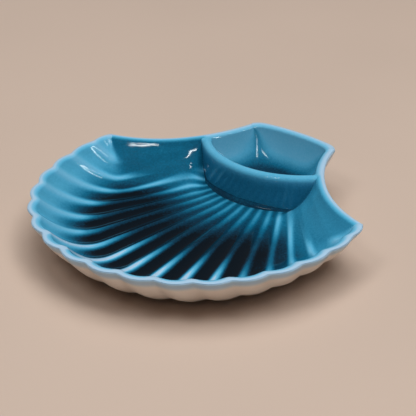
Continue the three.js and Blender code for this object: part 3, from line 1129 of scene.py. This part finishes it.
@dataclass(frozen=True)
class DipDivider:
    """The curved wall in front of the dip cup, its glaze and the roll of slip at its foot."""

    plan: ShellPlan
    shop: Workshop
    clay: Material
    teal: Material
    reach: float = 1.02
    sunk: float = 1.0
    columns: int = 96
    crest_steps: int = 14
    face_steps: int = 10

    # The bead tapers from the middle to its ends, and never stands higher than the divider.
    bead_steps: int = 10
    bead_full: float = 0.8
    bead_end: float = 0.45
    bead_taper: Span = (0.2, 0.75)

    # The glaze's depth: deep on the faces, where it pools and where it also paints the shade on them, and
    # less on the crest, where it thins and also paints a highlight; and a distance inside the rim where it
    # isn't worn.
    on_face_shaded: float = 0.46
    on_crest_highlight: float = 0.15
    crest_climb: Span = (0.62, 1.02)
    on_bead: float = 0.78
    from_rim: float = 20.0

    def build(self) -> None:
        """Build the divider, its coat and its bead, and dress them."""
        self.shop.finish(self.body(), self.clay, Slot.CLAY, "dip_divider")
        self.shop.finish(self.coat(), self.teal, Slot.TEAL, "divider_glaze")
        self.shop.finish(self.bead(), self.teal, Slot.TEAL, "lute_bead")

    def feet(self) -> tuple[Array, Array]:
        """Find where the divider's two faces meet the shell, from side to side.

        Returns:
            The points at the foot of the fan's face and of the cup's face.
        """
        u = np.linspace(-self.reach, self.reach, self.columns + 1)
        flat = np.clip(u, -1.0, 1.0)
        feet = []
        for radius in (self.plan.fan_face, self.plan.cup_face):
            share = (radius - self.plan.cup_edge) / (self.plan.bead_edge - self.plan.cup_edge)
            skin = self.plan.inside(flat, np.full_like(flat, CUP_END + share))
            foot = self.plan.ring(radius, u, 0.0)
            feet.append(np.concatenate([foot, skin.points[:, 2:]], axis=-1))
        return feet[0], feet[1]

    def section(self) -> tuple[Array, Array]:
        """Draw the divider's outline over its top, from foot to foot.

        Returns:
            The points by column and by place on the outline, and the glaze's depth at each, deepened on the
            faces as painted shade and lessened on the crest as a painted highlight.
        """
        fan, cup = self.feet()
        top = self.plan.divider_top
        room = top - np.maximum(fan[:, 2], cup[:, 2])
        crown = np.minimum(self.plan.divider_wall / 2, room / 2)
        spring = (top - crown)[:, None]
        climb = np.linspace(0.0, 1.0, self.face_steps + 1)[:-1]
        turn = np.linspace(0.0, math.pi, self.crest_steps + 1)
        across = np.concatenate([np.zeros_like(climb), (1.0 - np.cos(turn)) / 2.0, np.ones_like(climb)])
        outline = mix(fan[:, None, :], cup[:, None, :], across[None, :, None])
        up, down = (mix(foot[:, 2:] - self.sunk, spring, climb) for foot in (fan, cup))
        crest = spring + crown[:, None] * np.sin(turn)
        outline[..., 2] = np.concatenate([up, crest, down[:, ::-1]], axis=1)
        height = (outline[..., 2] - self.plan.fan_floor) / (top - self.plan.fan_floor)
        # Painted shade on the faces and a painted highlight on the crest, laid over the glaze's own depth.
        return outline, mix(self.on_face_shaded, self.on_crest_highlight, smooth(height, *self.crest_climb))

    def body(self) -> Piece:
        """Model the clay of the divider as a closed bar.

        Returns:
            The piece.
        """
        outline, depth = self.section()
        closed = np.concatenate([outline, outline[:, :1]], axis=1)
        ring = np.concatenate([depth, depth[:, :1]], axis=1)
        piece = self.shop.grid("curved_divider", self.skin(closed, ring))
        self.shop.cap(piece)
        return piece

    def coat(self) -> Piece:
        """Model the teal coat over the divider's faces and top.

        Returns:
            The piece.
        """
        piece = self.shop.grid("divider_teal_coat", self.skin(*self.section()))
        self.shop.coat(piece)
        return piece

    def bead(self) -> Piece:
        """Model the roll of slip along the divider's foot.

        Returns:
            The piece.
        """
        fan, _ = self.feet()
        out = unit(fan * np.array([1.0, 1.0, 0.0]))
        turn = np.linspace(0.0, math.pi / 2, self.bead_steps + 1)
        across = np.abs(np.linspace(-1.0, 1.0, self.columns + 1))
        taper = mix(1.0, self.bead_end, smooth(across, *self.bead_taper))
        full = self.plan.bead_size * self.bead_full * taper
        tall = np.minimum(full, self.plan.divider_top - fan[:, 2])
        size = full + self.plan.coat_room
        arc = fan[:, None, :] + out[:, None, :] * (size[:, None] * np.cos(turn)[None, :])[..., None]
        arc[..., 2] += tall[:, None] * np.sin(turn)[None, :]
        toe = arc[:, :1] - np.array([0.0, 0.0, self.sunk])
        heel = fan[:, None, :] - np.array([0.0, 0.0, self.sunk])
        ring = np.concatenate([toe, arc, heel, toe], axis=1)
        piece = self.shop.grid("slip_bead", self.skin(ring, np.full(ring.shape[:2], self.on_bead)))
        self.shop.cap(piece)
        return piece

    def skin(self, outline: Array, depth: Array) -> Skin:
        """Turn an outline by column into a skin, with its columns across the dish."""
        points = np.swapaxes(outline, 0, 1)[::-1]
        return Skin(points, depth.T[::-1], np.full(depth.T.shape, -self.from_rim))


@dataclass(frozen=True)
class StandingRing:
    """The bare ring that the dish stands on."""

    plan: ShellPlan
    shop: Workshop
    clay: Material
    inset: float = 10.0
    width: float = 5.0
    rounding: float = 0.6
    round_steps: int = 3
    steps: int = 120

    def build(self) -> None:
        """Build the ring and dress it."""
        self.shop.finish(self.body(), self.clay, Slot.FOOT, "foot_ring")

    def body(self) -> Piece:
        """Model the ring as a tube with rounded edges.

        Returns:
            The piece.
        """
        plan = self.plan
        radius = plan.fan_radius + plan.lip_width - plan.outer_fan_run - self.inset
        bpy.ops.object.select_all(action="DESELECT")
        bpy.ops.mesh.primitive_cylinder_add(
            vertices=self.steps,
            radius=(radius + self.width / 2) * MM,
            depth=plan.foot_height * MM,
            end_fill_type="NOTHING",
            location=(0.0, (plan.focus_back - plan.fan_centre) * MM, plan.foot_height / 2 * MM),
        )
        piece = bpy.context.object
        piece.name = "standing_ring"
        bpy.ops.object.transform_apply(location=True, rotation=True, scale=True)
        self.shop.modify(piece, "SOLIDIFY", thickness=self.width * MM, offset=-1.0)
        edge = {"width": self.rounding * MM, "segments": self.round_steps, "limit_method": "ANGLE"}
        self.shop.modify(piece, "BEVEL", **edge)
        return piece


@dataclass(frozen=True)
class Softbox:
    """A lamp that looks at the middle of the dish, with its place and size in metres."""

    name: str
    place: Place
    size: Span
    watts: float
    colour: Colour = WHITE
    use: Lamp = Lamp.SOFT

    def hang(self) -> None:
        """Add the lamp to the scene."""
        turn = facing(-Vector(self.place))
        bpy.ops.object.light_add(type="AREA", location=self.place, rotation=turn)
        lamp = bpy.context.object
        lamp.name = self.name
        lamp.data.shape = self.use.value
        lamp.data.size, lamp.data.size_y = self.size
        lamp.data.energy = self.watts
        lamp.data.color = self.colour
        lamp.visible_glossy = self.use is Lamp.GLINT
        lamp.visible_diffuse = self.use is Lamp.SOFT


@dataclass(frozen=True)
class Studio:
    """The floor, the lamps and the camera."""

    floor_colour: Colour = (0.60, 0.47, 0.385)
    floor_size: float = 30.0
    floor_roughness: float = 0.8
    floor_tone: Grain = Grain(3.0, 2.0)
    tone_ease: Span = (0.3, 0.7)
    paler: float = 1.04
    sky: Colour = (0.92, 0.95, 1.0)
    sky_strength: float = 0.055
    azimuth: float = math.radians(38.36)
    elevation: float = math.radians(28.58)
    distance: float = 1.028
    target: Place = (-0.0117, 0.02423, 0.009)
    lens: float = 121.15
    sensor: float = 36.0
    lamps: tuple[Softbox, ...] = (
        Softbox("ceiling", (0.1, 0.3, 3.0), (2.4, 2.4), 65.0),
        Softbox("key_right", (1.188, -0.1, 2.08), (0.7, 0.7), 12.0),
        Softbox("key_left", (-0.311, -1.159, 2.08), (0.7, 0.7), 9.5),
        Softbox("strip_back", (0.765, 0.407, 0.677), (0.04, 0.7), 1.4, COOL, Lamp.GLINT),
        Softbox("strip_side", (0.858, -0.12, 0.677), (0.06, 0.9), 3.0, COOL, Lamp.GLINT),
        Softbox("strip_front", (0.072, -0.688, 0.855), (0.42, 0.04), 1.0, COOL, Lamp.GLINT),
    )

    def lay_floor(self) -> None:
        """Lay the plain pale floor."""
        bpy.ops.object.select_all(action="DESELECT")
        bpy.ops.mesh.primitive_plane_add(size=self.floor_size)
        floor = bpy.context.object
        floor.name = "floor"
        shader = Shader("floor_card")
        tone = shader.ease(shader.noise(self.floor_tone), *self.tone_ease)
        paler = tuple(part * self.paler for part in self.floor_colour)
        colour = shader.blend(tone, self.floor_colour, paler)
        floor.data.materials.append(shader.dress(Base_Color=colour, Roughness=self.floor_roughness))

    def light(self) -> None:
        """Light the dish softly from all round and from the lamps."""
        world = bpy.data.worlds.new("soft_room")
        world.use_nodes = True
        background = world.node_tree.nodes["Background"]
        background.inputs["Color"].default_value = (*self.sky, 1.0)
        background.inputs["Strength"].default_value = self.sky_strength
        bpy.context.scene.world = world
        for lamp in self.lamps:
            lamp.hang()

    def aim_camera(self) -> None:
        """Stand the camera where the photograph was taken from."""
        level = math.cos(self.elevation)
        right = math.sin(self.azimuth) * level
        front = math.cos(self.azimuth) * level
        back = Vector((right, -front, math.sin(self.elevation)))
        place = Vector(self.target) + back * self.distance
        bpy.ops.object.camera_add(location=place, rotation=facing(-back))
        camera = bpy.context.object
        camera.data.lens = self.lens
        camera.data.sensor_width = self.sensor
        camera.data.sensor_fit = "HORIZONTAL"
        bpy.context.scene.camera = camera

    def set_up(self) -> None:
        """Set up the whole studio."""
        self.lay_floor()
        self.light()
        self.aim_camera()
        bpy.context.scene.view_settings.view_transform = "Standard"


def main() -> None:
    """Build the dish piece by piece and set it in the studio."""
    logging.basicConfig(level=logging.INFO, format="%(name)s: %(message)s")
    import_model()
    plan = ShellPlan()
    shop = Workshop(plan)
    clay = BareClay("fired_clay").material()
    teal = TealGlaze().material()
    cream = CreamGlaze().material()
    foot = BareClay("bare_foot", FOOT_PALE, FOOT_DARK).material()
    CastShell(plan, shop, clay, teal, cream).build()
    DipDivider(plan, shop, clay, teal).build()
    StandingRing(plan, shop, foot).build()
    Studio().set_up()


if __name__ == "__main__":
    main()
